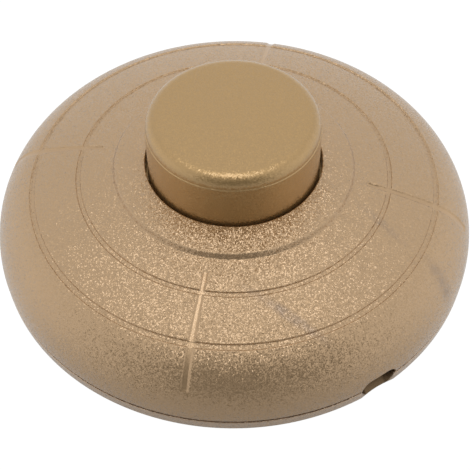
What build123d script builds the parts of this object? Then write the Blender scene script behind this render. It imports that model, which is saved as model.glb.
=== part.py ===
from math import atan2, cos, degrees, radians, sin, sqrt
import os

from build123d import *

# A round foot switch for a lamp cord: a domed cover with a wide push button, screwed to a
# shallow base that holds the terminals, the contacts and a turning ratchet.
# Lengths are in millimetres. +X runs along the cord from inlet to inlet, +Z is up, and the
# origin is on the floor under the middle of the button. Heights are measured from the floor.

# Fits
running_gap = 0.08           # between faces that slide or turn on each other
thrust_gap = 0.05            # under a face that turns on a seat
seat_gap = 0.1               # round a piece that is dropped into its pocket
screw_gap = 0.05             # round a screw in its hole, where the thread would be
cut_over = 1.0               # how far a cutting tool runs past what it cuts

# Feet and base
foot_proud = 0.8
foot_radius = 4.0
foot_thickness = 1.35
foot_inset = 9.0             # from the rim's widest radius in to the middle of a foot
foot_edge = 0.3
base_band = 1.85             # visible height of the base below the parting seam
base_floor = 1.5
base_draft = 0.24            # the band leans out by this much towards the seam
base_edge = 0.4
seam_gap = 0.2
spigot_wall = 1.1            # ring that stands up inside the cover
spigot_rise = 1.9
spigot_straight = 0.6        # height of the spigot above the seam before it tapers in
spigot_taper = 0.5

# Cover
rim_radius = 32.0
rim_rise = 0.3               # from the seam up to the widest point
rim_tuck = 0.12              # the cover's lower edge is this much inside the widest radius
rim_round = 8.4
shoulder_slope = 20.0        # degrees, where the rim's round meets the dome
dome_radius = 58.0
cover_wall = 2.0
collar_width = 4.7           # from the button's side out to the foot of the raised collar
collar_taper = 0.35
collar_rise = 1.0
collar_crown = 0.2
collar_round = 0.45
hole_round = 0.2
button_gap = 0.26            # visible gap round the button

# Channels and radial marks sunk in the cover
groove_depth = 0.22
inner_channel_offset = 4.3   # from the collar's foot out to the channel
inner_channel_width = 0.57
outer_channel_inset = 5.7    # from the rim's widest radius in to the channel
outer_channel_width = 0.68
mark_width = 0.75
mark_offset = 2.0            # from the collar's foot out to the mark's round end
mark_inset = 1.1             # from the rim's widest radius in to the mark's outer end
mark_angles = (45, 135, 225, 315)

# Cord inlets and clamps
inlet_width = 5.0
inlet_height = 2.6
inlet_floor = 0.5            # material left under the inlet
inlet_depth = 11.5           # how far in from the rim the inlet's channel runs
clamp_inset = 7.0            # from the rim in to the middle of a clamp
clamp_pitch = 11.0           # between the two screws of a clamp
clamp_width = 4.4
clamp_thickness = 1.5
clamp_ridge_width = 1.0
clamp_ridge_drop = 0.35
clamp_boss_radius = 2.3
clamp_clearance = 0.4        # between the cord and the clamp's underside
clamp_screw_radius = 1.0

# Button
button_radius = 11.1
button_rise = 7.8            # top of the button above the collar
button_round = 1.5
button_top = 2.0
button_wall = 1.6
button_travel = 4.0
button_lift_gap = 0.2        # between the flange and the cover when the button is up
flange_width = 2.1           # how far the flange stands out from the button's side
flange_thickness = 1.2
key_width = 1.6
key_depth = 0.9
button_rib = 1.0
button_rib_height = 4.0
driver_inner_radius = 4.2
driver_wall = 1.8

# Guide ring under the cover
guide_wall = 1.3
guide_drop = 5.4

# Ratchet
tooth_count = 8
press_turn = 36.0            # degrees that the rotor turns while the button goes down
ramp_span = 43.0             # degrees
driver_span = 36.0           # degrees
ratchet_gap = 0.08
tooth_root_gap = 0.35
first_ramp_angle = 2.0
rotor_thickness = 3.0
rotor_radius = 8.4
catch_height = 0.9
catch_span = 5.0             # degrees
catch_face_lead = 2.5        # degrees from the middle of the pawl's tip to the next catch
pin_radius = 1.75
pin_height = 6.2
pin_chamfer = 0.4
seat_radius = 3.2
seat_height = 1.0

# Contacts
bridge_thickness = 0.6
bridge_arm_width = 2.6
bridge_hub_radius = 4.0
bridge_reach = 8.1
contact_angles = {"in": -45, "out": -135}
contact_radius = 7.2
leaf_thickness = 0.4
leaf_width = 3.4
leaf_lift = 0.2              # between the leaf and the rotor
leaf_start = 6.3
leaf_bend = 13.0
leaf_run_out = 2.0
rivet_tip_radius = 0.85
rivet_shank_radius = 0.55
rivet_head_radius = 1.0
rivet_head_height = 0.3

# Terminals
terminal_length = 5.2
terminal_width = 5.0
terminal_height = 3.9
terminal_start = 15.6
through_length = 10.0
through_inset = 13.8         # from the rim in to the middle of the block
through_screw_pitch = 5.6
wire_bore_radius = 1.1
wire_bore_height = 1.7
terminal_screw_radius = 1.2
pocket_wall = 1.0
pocket_height = 2.2

# Pawl
pawl_thickness = 0.3
pawl_height = 2.2
pawl_lift = 0.4              # between the pawl and the seat's height
pawl_post_radius = 12.4
pawl_post_angle = 40.0
pawl_knee_radius = 9.9
pawl_knee_angle = 72.0
pawl_tip_radius = 8.78
pawl_tip_angle = 77.0
pawl_post_size = 3.2
pawl_post_height = 3.6

# Spring and washer
spring_radius = 3.1
spring_wire = 0.8
spring_turns = 6.5
washer_thickness = 0.5
washer_radius = 3.9

# Screws
screw_head_ratio = 1.7       # radius of a head against its shank
screw_head_height = 1.1
screw_slot_width = 0.6
screw_slot_depth = 0.5
cover_screw_radius = 1.4
cover_screw_length = 6.5
cover_screw_end_gap = 0.4
cover_screw_inset = 6.5      # from the rim in to the screw
cover_screw_head_radius = 2.5
cover_screw_head_height = 1.6
cover_boss_radius = 3.2
base_boss_radius = 3.9
base_boss_rise = 2.1

# Heights and radii worked out from the sizes above
underside_z = foot_proud
floor_z = underside_z + base_floor
seam_z = underside_z + base_band
rim_z = seam_z + rim_rise
rim_centre = rim_radius - rim_round
slope = radians(shoulder_slope)
shoulder_radius = rim_centre + rim_round * sin(slope)
shoulder_z = rim_z + rim_round * cos(slope)
dome_centre = shoulder_radius - dome_radius * sin(slope)
dome_centre_z = shoulder_z - dome_radius * cos(slope)
dome_start = 90 - shoulder_slope    # where the dome's arc begins, seen from its centre
collar_radius = button_radius + collar_width
flange_radius = button_radius + flange_width
inner_channel_radius = collar_radius + inner_channel_offset
outer_channel_radius = rim_radius - outer_channel_inset
mark_start = collar_radius + mark_offset
mark_end = rim_radius - mark_inset
inlet_reach = rim_radius - inlet_depth
foot_circle = rim_radius - foot_inset
clamp_distance = rim_radius - clamp_inset
through_distance = rim_radius - through_inset
cover_screw_distance = rim_radius - cover_screw_inset
turn_per_mm = press_turn / button_travel


def dome_height(radius, depth=0.0):
    """Height of the dome's face at a radius, sunk by depth along its normal."""
    return dome_centre_z + sqrt((dome_radius - depth) ** 2 - (radius - dome_centre) ** 2)


collar_top_radius = collar_radius - collar_taper
collar_top_z = dome_height(collar_radius) + collar_rise
hole_radius = button_radius + button_gap
hole_z = collar_top_z + collar_crown
ceiling_z = hole_z - cover_wall
button_z = hole_z + button_rise
flange_top_z = ceiling_z - button_lift_gap
flange_bottom_z = flange_top_z - flange_thickness
button_ceiling_z = button_z - button_top
guide_bottom_z = ceiling_z - guide_drop
guide_radius = flange_radius + running_gap
driver_radius = driver_inner_radius + driver_wall
seat_z = floor_z + seat_height
rotor_z = seat_z + thrust_gap
rotor_top_z = rotor_z + rotor_thickness
tooth_pitch = 360 / tooth_count
driver_tip_z = rotor_top_z + button_travel + ratchet_gap
driver_root_z = rotor_top_z + ramp_span / turn_per_mm + button_travel + tooth_root_gap
washer_z = rotor_top_z + washer_thickness
leaf_z = rotor_top_z + leaf_lift
inlet_z = underside_z + inlet_floor + inlet_height / 2
clamp_z = inlet_z + inlet_height / 2 + clamp_clearance
base_boss_z = floor_z + base_boss_rise
cover_screw_seat_z = base_boss_z - base_floor


def turned(*edges):
    """Solid of revolution about Z from the edges of a half section."""
    return revolve(Plane.XZ * make_face(list(edges)), Axis.Z)


def path(*points):
    """Straight edges through the points, in order."""
    return [Line(a, b) for a, b in zip(points, points[1:])]


def round_edge(centre, radius, start, end):
    """Arc about a centre in the half section, between two angles in degrees."""
    return CenterArc(centre, radius, start, end - start)


def rings_at(shape, height):
    """Circular edges of a turned shape at a height."""
    rings = shape.edges().filter_by(GeomType.CIRCLE)
    return rings.filter_by_position(Axis.Z, height - screw_gap, height + screw_gap)


def cylinder(radius, bottom, top, x=0.0, y=0.0):
    """Upright cylinder between two heights."""
    return Pos(x, y, (bottom + top) / 2) * Cylinder(radius, top - bottom)


def block(length, width, bottom, top, x=0.0, y=0.0):
    """Upright box between two heights, centred on x and y."""
    return Pos(x, y, (bottom + top) / 2) * Box(length, width, top - bottom)


def polar(radius, angle):
    """Point in plan from its radius and its angle in degrees."""
    return radius * cos(radians(angle)), radius * sin(radians(angle))


def sector(inner, outer, start, span):
    """Flat face between two radii and two angles."""
    middle = start + span / 2
    rim = ThreePointArc(polar(outer, start), polar(outer, middle), polar(outer, start + span))
    bore = ThreePointArc(polar(inner, start), polar(inner, middle), polar(inner, start + span))
    sides = [Line(polar(inner, a), polar(outer, a)) for a in (start, start + span)]
    return make_face([rim, bore, *sides])


def below_ramp(inner, outer, start, span, bottom, height):
    """What lies under a helical ramp that rises from bottom at the start angle."""
    face = Pos(0, 0, bottom) * sector(inner, outer, start, span)
    turn = height * turn_per_mm
    wound = Solid.extrude_linear_with_rotation(face.faces()[0], (0, 0, bottom), (0, 0, height), turn)
    return Part() + wound


def angle_at(point):
    """Angle in degrees of a point of the section, seen from the dome arc's centre."""
    return degrees(atan2(point[1] - dome_centre_z, point[0] - dome_centre))


def sunk_dome(depth):
    """Everything inside the cover's outer face, with that face sunk by depth."""
    round_radius = rim_round - depth
    widest = rim_centre + round_radius
    top = (collar_radius, dome_height(collar_radius, depth))
    return turned(
        round_edge((rim_centre, rim_z), round_radius, 0, dome_start),
        round_edge((dome_centre, dome_centre_z), dome_radius - depth, dome_start, angle_at(top)),
        *path(top, (0, top[1]), (0, 0), (widest, 0), (widest, rim_z)),
    )


def inlet_tool():
    """Oval passages for the flat cord, one at each end of X."""
    section = Plane.YZ * SlotOverall(inlet_width, inlet_height)
    run = extrude(section, inlet_depth + cut_over)
    passage = Pos(inlet_reach, 0, inlet_z) * run
    return passage + Rot(0, 0, 180) * passage


def engraving():
    """Ring channels and radial marks, down to a dome sunk by the groove's depth."""
    top = button_z
    tool = Part()
    for radius, width in (
        (inner_channel_radius, inner_channel_width),
        (outer_channel_radius, outer_channel_width),
    ):
        tool += cylinder(radius + width, 0, top) - cylinder(radius, 0, top)
    for angle in mark_angles:
        bar = block(mark_end - mark_start, mark_width, 0, top, x=(mark_end + mark_start) / 2)
        bar += cylinder(mark_width / 2, 0, top, x=mark_start)
        tool += Rot(0, 0, angle) * bar
    return tool - sunk_dome(groove_depth)


def cover():
    """Domed shell with its collar, guide ring and two screw bosses."""
    inner_round = rim_round - cover_wall
    inner_top = (collar_radius, dome_height(collar_radius, cover_wall))
    outer_top = (collar_radius, dome_height(collar_radius))
    outer_end = angle_at(outer_top)
    inner_end = angle_at(inner_top)
    guide_outer = guide_radius + guide_wall
    shell = turned(
        round_edge((rim_centre, rim_z), rim_round, 0, dome_start),
        round_edge((dome_centre, dome_centre_z), dome_radius, dome_start, outer_end),
        *path(
            outer_top,
            (collar_top_radius, collar_top_z),
            (hole_radius, hole_z),
            (hole_radius, ceiling_z),
            (guide_radius, ceiling_z),
            (guide_radius, guide_bottom_z),
            (guide_outer, guide_bottom_z),
            (guide_outer, ceiling_z),
            (collar_top_radius, ceiling_z),
            inner_top,
        ),
        round_edge((dome_centre, dome_centre_z), dome_radius - cover_wall, dome_start, inner_end),
        round_edge((rim_centre, rim_z), inner_round, 0, dome_start),
        *path(
            (rim_radius - cover_wall, rim_z),
            (rim_radius - cover_wall, seam_z),
            (rim_radius - rim_tuck, seam_z),
            (rim_radius, rim_z),
        ),
    )
    shell = fillet(rings_at(shell, hole_z), hole_round)
    shell = fillet(rings_at(shell, collar_top_z), collar_round)
    key_outer = guide_radius + guide_wall / 2
    key_inner = flange_radius - key_depth + running_gap
    for side in (-1, 1):
        key_x = side * (key_outer + key_inner) / 2
        shell += block(key_outer - key_inner, key_width, guide_bottom_z, ceiling_z, x=key_x)
        boss = cylinder(cover_boss_radius, base_boss_z, button_z, y=side * cover_screw_distance)
        shell += boss & sunk_dome(cover_wall / 2)
    for side in (-1, 1):
        pilot_radius = cover_screw_radius + screw_gap
        hole_end_z = cover_screw_seat_z - cover_screw_head_height + cover_screw_length + cover_screw_end_gap
        shell -= cylinder(pilot_radius, base_boss_z, hole_end_z, y=side * cover_screw_distance)
    return shell - engraving() - inlet_tool()


def base():
    """Shallow dish with the spigot, pin, clamp bosses, screw bosses and terminal pockets."""
    band_radius = rim_radius - rim_tuck
    foot_line = band_radius - base_draft
    spigot_radius = rim_radius - cover_wall - seat_gap
    dish = turned(
        *path(
            (0, underside_z),
            (foot_line - base_edge, underside_z),
            (foot_line, underside_z + base_edge),
            (band_radius, seam_z - seam_gap),
            (spigot_radius, seam_z - seam_gap),
            (spigot_radius, seam_z + spigot_straight),
            (spigot_radius - spigot_taper, seam_z + spigot_rise),
            (spigot_radius - spigot_wall, seam_z + spigot_rise),
            (spigot_radius - spigot_wall, floor_z),
            (0, floor_z),
            (0, underside_z),
        )
    )
    dish += cylinder(seat_radius, floor_z, seat_z)
    pin = cylinder(pin_radius, seat_z, seat_z + pin_height)
    dish += chamfer(pin.edges().sort_by(Axis.Z)[-1], pin_chamfer)
    terminal_middle = terminal_start + terminal_length / 2
    for angle in contact_angles.values():
        dish += Rot(0, 0, angle) * side_walls(terminal_middle, terminal_length, terminal_width)
    dish += Rot(0, 0, 90) * side_walls(through_distance, terminal_width, through_length)
    dish += pawl_post()
    for end in (-1, 1):
        for side in (-1, 1):
            spot = {"x": end * clamp_distance, "y": side * clamp_pitch / 2}
            dish += cylinder(clamp_boss_radius, floor_z, clamp_z, **spot)
            dish -= cylinder(clamp_screw_radius + screw_gap, floor_z, clamp_z, **spot)
    for side in (-1, 1):
        spot = {"y": side * cover_screw_distance}
        dish += cylinder(base_boss_radius, floor_z, base_boss_z, **spot)
        dish -= cylinder(cover_screw_head_radius + seat_gap, underside_z, cover_screw_seat_z, **spot)
        dish -= cylinder(cover_screw_radius + seat_gap, cover_screw_seat_z, base_boss_z, **spot)
    for angle in mark_angles:
        x, y = polar(foot_circle, angle)
        dish -= cylinder(foot_radius + seat_gap, underside_z, foot_thickness, x, y)
    return dish - inlet_tool()


def side_walls(distance, length, width):
    """Two low walls that hold a terminal block between them, out along X."""
    offset = width / 2 + seat_gap + pocket_wall / 2
    walls = Part()
    for side in (-1, 1):
        wall = block(length, pocket_wall, floor_z, floor_z + pocket_height, x=distance)
        walls += Pos(0, side * offset, 0) * wall
    return walls


def pawl_line():
    """Plan of the pawl's strip: from its post to the knee, then in to the tip."""
    post = polar(pawl_post_radius, pawl_post_angle)
    knee = polar(pawl_knee_radius, pawl_knee_angle)
    tip = polar(pawl_tip_radius, pawl_tip_angle)
    return Polyline(post, knee, tip)


def pawl_strip(thickness, bottom, top):
    """The pawl's strip on edge, between two heights."""
    plan = trace(pawl_line(), thickness)
    return Pos(0, 0, bottom) * extrude(plan, top - bottom)


def pawl_post():
    """Slotted post that grips the pawl's fixed end."""
    x, y = polar(pawl_post_radius, pawl_post_angle)
    post = block(pawl_post_size, pawl_post_size, floor_z, floor_z + pawl_post_height, x, y)
    bottom = seat_z + pawl_lift
    return post - pawl_strip(pawl_thickness, bottom, bottom + pawl_height)


def pawl_spring():
    """Thin strip that drops behind the rotor's catches."""
    bottom = seat_z + pawl_lift
    return pawl_strip(pawl_thickness, bottom, bottom + pawl_height)


def button():
    """Hollow push button with its flange, driver tube, driver teeth and ribs."""
    skirt = button_radius - button_wall
    shell = turned(
        Line((0, button_z), (button_radius - button_round, button_z)),
        round_edge((button_radius - button_round, button_z - button_round), button_round, 90, 0),
        *path(
            (button_radius, button_z - button_round),
            (button_radius, flange_top_z),
            (flange_radius, flange_top_z),
            (flange_radius, flange_bottom_z),
            (skirt, flange_bottom_z),
            (skirt, button_ceiling_z),
            (driver_radius, button_ceiling_z),
            (driver_radius, driver_root_z),
            (driver_inner_radius, driver_root_z),
            (driver_inner_radius, button_ceiling_z),
            (0, button_ceiling_z),
            (0, button_z),
        ),
    )
    rib_length = skirt - driver_radius + 2 * running_gap
    rib_x = (skirt + driver_radius) / 2
    for angle in mark_angles:
        rib = block(rib_length, button_rib, button_ceiling_z - button_rib_height, button_ceiling_z, x=rib_x)
        shell += Rot(0, 0, angle) * rib
    key_length = key_depth + cut_over
    key_x = flange_radius - key_depth + key_length / 2
    for side in (-1, 1):
        shell -= block(
            key_length, key_width + 2 * running_gap, flange_bottom_z, flange_top_z, x=side * key_x
        )
    return shell + driver_teeth()


def driver_teeth():
    """Saw teeth under the driver tube, cut to the same helix as the rotor's ramps."""
    start = first_ramp_angle + press_turn
    height = driver_root_z - driver_tip_z
    face = sector(driver_inner_radius, driver_radius, start, driver_span)
    blank = Pos(0, 0, driver_tip_z) * extrude(face, height)
    span = driver_span + turn_per_mm * cut_over
    under = below_ramp(
        driver_inner_radius - cut_over, driver_radius + cut_over, start, span, driver_tip_z, height
    )
    tooth = blank - under
    return Part() + [Rot(0, 0, i * tooth_pitch) * tooth for i in range(tooth_count)]


def bridge_plan():
    """Plan of the contact cross: a ring with four arms."""
    plan = Circle(bridge_hub_radius) - Circle(pin_radius + running_gap + seat_gap)
    for angle in mark_angles:
        arm_length = bridge_reach - bridge_hub_radius / 2
        arm = Pos(bridge_reach - arm_length / 2, 0) * Rectangle(arm_length, bridge_arm_width)
        plan += Rot(0, 0, angle) * arm
    return plan - Circle(pin_radius + running_gap + seat_gap)


def contact_bridge():
    """Brass cross let into the top of the rotor."""
    return Pos(0, 0, rotor_top_z - bridge_thickness) * extrude(bridge_plan(), bridge_thickness)


def ratchet_rotor():
    """Disc with helical ramps on top and saw-tooth catches round its edge."""
    disc = cylinder(rotor_radius, rotor_z, rotor_top_z)
    for i in range(tooth_count):
        angle = pawl_tip_angle + catch_face_lead + i * tooth_pitch
        catch = Polyline(
            polar(rotor_radius - cut_over, angle),
            polar(rotor_radius + catch_height, angle),
            polar(rotor_radius - running_gap, angle + catch_span),
            close=True,
        )
        disc += Pos(0, 0, rotor_z) * extrude(make_face(catch), rotor_thickness)
    disc -= contact_bridge()
    disc -= cylinder(pin_radius + running_gap, rotor_z, rotor_top_z)
    height = ramp_span / turn_per_mm
    face = sector(driver_inner_radius, driver_radius, first_ramp_angle, ramp_span)
    blank = Pos(0, 0, rotor_top_z) * extrude(face, height)
    span = ramp_span + turn_per_mm * cut_over
    under = below_ramp(
        driver_inner_radius - cut_over,
        driver_radius + cut_over,
        first_ramp_angle,
        span,
        rotor_top_z,
        height + cut_over,
    )
    ramp = blank & under
    return disc + [Rot(0, 0, i * tooth_pitch) * ramp for i in range(tooth_count)]


def spring_washer():
    """Flat ring between the rotor and the spring."""
    ring = cylinder(washer_radius, rotor_top_z, washer_z)
    return ring - cylinder(pin_radius + seat_gap, rotor_top_z, washer_z)


def button_spring():
    """Coil spring with both ends ground flat."""
    length = button_ceiling_z - washer_z
    pitch = (length + spring_wire) / spring_turns
    line = Helix(pitch, length + spring_wire, spring_radius)
    wire = sweep(Plane(line @ 0, z_dir=line % 0) * Circle(spring_wire / 2), path=line)
    coil = Pos(0, 0, washer_z - spring_wire / 2) * wire
    slab = cylinder(2 * spring_radius, washer_z, button_ceiling_z)
    return coil & slab


def contact_spring(angle):
    """Leaf from under its terminal up and over the rotor."""
    outer = terminal_start + terminal_length
    rise = leaf_bend + leaf_run_out
    section = Polyline(
        (leaf_start, leaf_z),
        (leaf_bend, leaf_z),
        (rise, floor_z),
        (outer, floor_z),
        (outer, floor_z + leaf_thickness),
        (rise + leaf_thickness / 2, floor_z + leaf_thickness),
        (leaf_bend + leaf_thickness / 2, leaf_z + leaf_thickness),
        (leaf_start, leaf_z + leaf_thickness),
        close=True,
    )
    leaf = extrude(Plane.XZ * make_face(section), leaf_width / 2, both=True)
    hole = cylinder(rivet_shank_radius + screw_gap, leaf_z, leaf_z + leaf_thickness, x=contact_radius)
    return Rot(0, 0, angle) * (leaf - hole)


def contact_rivet(angle):
    """Silvered contact riveted through the leaf, just clear of the rotor's top."""
    leaf_top = leaf_z + leaf_thickness
    rivet = turned(
        *path(
            (0, rotor_top_z + thrust_gap),
            (rivet_tip_radius, rotor_top_z + thrust_gap),
            (rivet_tip_radius, leaf_z),
            (rivet_shank_radius, leaf_z),
            (rivet_shank_radius, leaf_top),
            (rivet_head_radius, leaf_top),
            (rivet_shank_radius, leaf_top + rivet_head_height),
            (0, leaf_top + rivet_head_height),
            (0, rotor_top_z + thrust_gap),
        )
    )
    return Rot(0, 0, angle) * Pos(contact_radius, 0, 0) * rivet


def terminal_screw_hole(bottom, x=0.0):
    """Hole for a terminal screw, from the block's top into its wire bore."""
    radius = terminal_screw_radius + screw_gap
    return cylinder(radius, bottom + wire_bore_height, bottom + terminal_height, x=x)


def wire_bore(bottom, length):
    """Passage for the bared wire, along X."""
    return Pos(0, 0, bottom + wire_bore_height) * Rot(0, 90, 0) * Cylinder(wire_bore_radius, length)


def terminal(angle):
    """Brass block on the foot of a contact leaf, with one screw."""
    bottom = floor_z + leaf_thickness
    body = block(terminal_length, terminal_width, bottom, bottom + terminal_height)
    body -= wire_bore(bottom, terminal_length)
    body -= terminal_screw_hole(bottom)
    return Rot(0, 0, angle) * Pos(terminal_start + terminal_length / 2, 0, 0) * body


def terminal_through():
    """Brass block that joins the unswitched wires, with two screws."""
    body = block(through_length, terminal_width, floor_z, floor_z + terminal_height)
    body -= wire_bore(floor_z, through_length)
    for side in (-1, 1):
        body -= terminal_screw_hole(floor_z, x=side * through_screw_pitch / 2)
    return Pos(0, through_distance, 0) * body


def slotted_screw(radius, length, head_z):
    """Cheese-head screw under Z, with the underside of its head at head_z."""
    head_radius = radius * screw_head_ratio
    top = head_z + screw_head_height
    screw = cylinder(head_radius, head_z, top)
    screw -= block(2 * head_radius, screw_slot_width, top - screw_slot_depth, top)
    return screw + cylinder(radius, head_z - length, head_z)


def terminal_screws():
    """One screw in each switched terminal and two in the through terminal."""
    length = terminal_height - wire_bore_height
    switched_top = floor_z + leaf_thickness + terminal_height
    middle = terminal_start + terminal_length / 2
    screws = []
    for angle in contact_angles.values():
        x, y = polar(middle, angle)
        screws.append(Pos(x, y, 0) * slotted_screw(terminal_screw_radius, length, switched_top))
    for side in (-1, 1):
        place = Pos(side * through_screw_pitch / 2, through_distance, 0)
        screws.append(place * slotted_screw(terminal_screw_radius, length, floor_z + terminal_height))
    return screws


def cord_clamp(end):
    """Saddle across the cord, with a ridge that bites into its sheath."""
    plan = Rot(0, 0, 90) * SlotOverall(clamp_pitch + 2 * clamp_boss_radius, clamp_width)
    for side in (-1, 1):
        plan -= Pos(0, side * clamp_pitch / 2) * Circle(clamp_screw_radius + screw_gap)
    plate = Pos(0, 0, clamp_z) * extrude(plan, clamp_thickness)
    plate += block(clamp_ridge_width, inlet_width, clamp_z - clamp_ridge_drop, clamp_z)
    return Pos(end * clamp_distance, 0, 0) * plate


def clamp_screws():
    """Two screws through each clamp into the bosses of the base."""
    length = clamp_z + clamp_thickness - floor_z
    screw = slotted_screw(clamp_screw_radius, length, clamp_z + clamp_thickness)
    return [
        Pos(end * clamp_distance, side * clamp_pitch / 2, 0) * screw for end in (-1, 1) for side in (-1, 1)
    ]


def cover_screw(side):
    """Screw from below, through the base into the cover's boss."""
    head_top = cover_screw_seat_z
    head_bottom = head_top - cover_screw_head_height
    screw = cylinder(cover_screw_head_radius, head_bottom, head_top)
    for angle in (0, 90):
        cross = block(2 * cover_screw_radius, screw_slot_width, head_bottom, head_bottom + screw_slot_depth)
        screw -= Rot(0, 0, angle) * cross
    screw += cylinder(cover_screw_radius, head_top, head_bottom + cover_screw_length)
    return Pos(0, side * cover_screw_distance, 0) * screw


def foot(angle):
    """Rubber pad in its recess under the base."""
    x, y = polar(foot_circle, angle)
    pad = cylinder(foot_radius, 0, foot_thickness)
    return Pos(x, y, 0) * chamfer(pad.edges().sort_by(Axis.Z)[0], foot_edge)


def pieces():
    """Every node of the switch by name."""
    made = {
        "cover": cover(),
        "base": base(),
        "button": button(),
        "button_spring": button_spring(),
        "spring_washer": spring_washer(),
        "ratchet_rotor": ratchet_rotor(),
        "contact_bridge": contact_bridge(),
        "pawl_spring": pawl_spring(),
        "terminal_through": terminal_through(),
    }
    for name, angle in contact_angles.items():
        made["contact_spring_" + name] = contact_spring(angle)
        made["contact_rivet_" + name] = contact_rivet(angle)
        made["terminal_" + name] = terminal(angle)
    for name, end in (("in", 1), ("out", -1)):
        made["cord_clamp_" + name] = cord_clamp(end)
    groups = {
        "terminal_screw": terminal_screws(),
        "clamp_screw": clamp_screws(),
        "cover_screw": [cover_screw(side) for side in (-1, 1)],
        "foot": [foot(angle) for angle in mark_angles],
    }
    for name, solids in groups.items():
        for number, solid in enumerate(solids, 1):
            made[f"{name}_{number}"] = solid
    return made


os.makedirs("parts", exist_ok=True)
for node, shape in pieces().items():
    shape.label = node
    export_step(shape, f"parts/{node}.step")
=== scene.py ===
"""Dresses the round foot switch: fine shells for its cover, base and button, and a finish for every piece."""

from math import cos, radians, sin

import bmesh
import bpy
import numpy as np
from bpy.props import FloatProperty, FloatVectorProperty, IntProperty, PointerProperty
from mathutils import Matrix, Vector


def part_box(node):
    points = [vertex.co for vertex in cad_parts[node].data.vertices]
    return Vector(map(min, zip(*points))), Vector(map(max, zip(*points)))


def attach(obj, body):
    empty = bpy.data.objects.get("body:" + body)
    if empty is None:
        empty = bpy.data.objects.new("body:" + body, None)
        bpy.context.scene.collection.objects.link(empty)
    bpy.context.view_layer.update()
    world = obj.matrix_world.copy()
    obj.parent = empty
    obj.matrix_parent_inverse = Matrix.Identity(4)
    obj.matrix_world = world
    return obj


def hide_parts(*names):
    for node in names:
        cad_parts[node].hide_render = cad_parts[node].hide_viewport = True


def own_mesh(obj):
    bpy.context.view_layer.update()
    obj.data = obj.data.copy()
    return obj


bl_info = {
    "name": "Foot switch dresser",
    "version": (1, 0, 0),
    "blender": (4, 5, 0),
    "location": "View3D > Sidebar > Foot switch",
    "description": "Builds the moulded shells, finishes and studio of a round foot switch for a lamp cord",
    "category": "Object",
}

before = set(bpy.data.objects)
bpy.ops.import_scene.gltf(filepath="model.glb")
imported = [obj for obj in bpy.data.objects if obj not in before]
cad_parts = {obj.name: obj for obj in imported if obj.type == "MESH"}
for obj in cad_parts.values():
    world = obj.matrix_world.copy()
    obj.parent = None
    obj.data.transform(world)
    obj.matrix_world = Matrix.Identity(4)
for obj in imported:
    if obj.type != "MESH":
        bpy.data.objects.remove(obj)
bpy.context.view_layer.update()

MM = 0.001


def size_of(node):
    """Lowest and highest corner of a CAD node in millimetres."""
    low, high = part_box(node)
    return np.array(low) / MM, np.array(high) / MM


cover_low, cover_high = size_of("cover")
base_low, base_high = size_of("base")
button_low, button_high = size_of("button")
foot_low, foot_high = size_of("foot_1")
screw_low, screw_high = size_of("cover_screw_1")
spring_low, spring_high = size_of("button_spring")
through_low, through_high = size_of("terminal_through")
clamp_low, clamp_high = size_of("clamp_screw_1")

# Names of the CAD nodes that keep their own solids, by the finish they get
FINISHED_NODES = {
    "brass": ("terminal_in", "terminal_out", "terminal_through", "contact_bridge"),
    "bronze": ("contact_spring_in", "contact_spring_out"),
    "silver": ("contact_rivet_in", "contact_rivet_out"),
    "spring_steel": ("spring_washer", "pawl_spring"),
    "zinc": tuple(
        f"{kind}_screw_{i}" for kind, count in (("terminal", 4), ("clamp", 4), ("cover", 2))
        for i in range(1, count + 1)
    ),
    "nylon": ("ratchet_rotor", "cord_clamp_in", "cord_clamp_out"),
    "rubber": tuple(f"foot_{i}" for i in range(1, 5)),
}

# Driver tube under the button, and the helix that its teeth share with the rotor's ramps
TUBE_INNER, TUBE_OUTER = 4.2, 6.0
HELIX_DEGREES_PER_MM = 9
TOOTH_SWEEP = 36
TOOTH_COUNT = 8

# How far an inner fitting is sunk into the shell that it stands on
SUNK = 0.1

# The cover's columns are laid out in eighths of the ring, and every second one has a radial mark
EIGHTHS = 8

# Ends of the switch along X: where the cord goes in and out
ENDS = {"out": -1, "in": 1}

# Worn patches of the cover: radius, angle and height of the middle, half sizes outwards and round it,
# lean, and strength, in millimetres and degrees
WORN_PATCHES = (
    (23.4, -18.6, 11.0, (7.6, 0.9), 42.0, 0.6),
    (29.9, 26.0, 7.4, (5.0, 1.5), -12.0, 0.55),
    (20.6, 29.5, 12.0, (5.0, 0.9), -15.0, 0.32),
)


def length(name, description, default, low=0.0, high=0.1):
    """Length property in metres, with its default in millimetres."""
    return FloatProperty(
        name=name, description=description, default=default * MM,
        min=low, max=high, unit="LENGTH", precision=5,
    )


def colour(name, description, default):
    """Linear colour property."""
    return FloatVectorProperty(
        name=name, description=description, default=default, size=3, min=0.0, max=1.0, subtype="COLOR"
    )


def share(name, description, default, high=1.0):
    """Plain number property that starts at nought."""
    return FloatProperty(name=name, description=description, default=default, min=0.0, max=high)


def turn(name, description, default):
    """Angle property, with its default in degrees."""
    return FloatProperty(name=name, description=description, default=radians(default), subtype="ANGLE")


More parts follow.
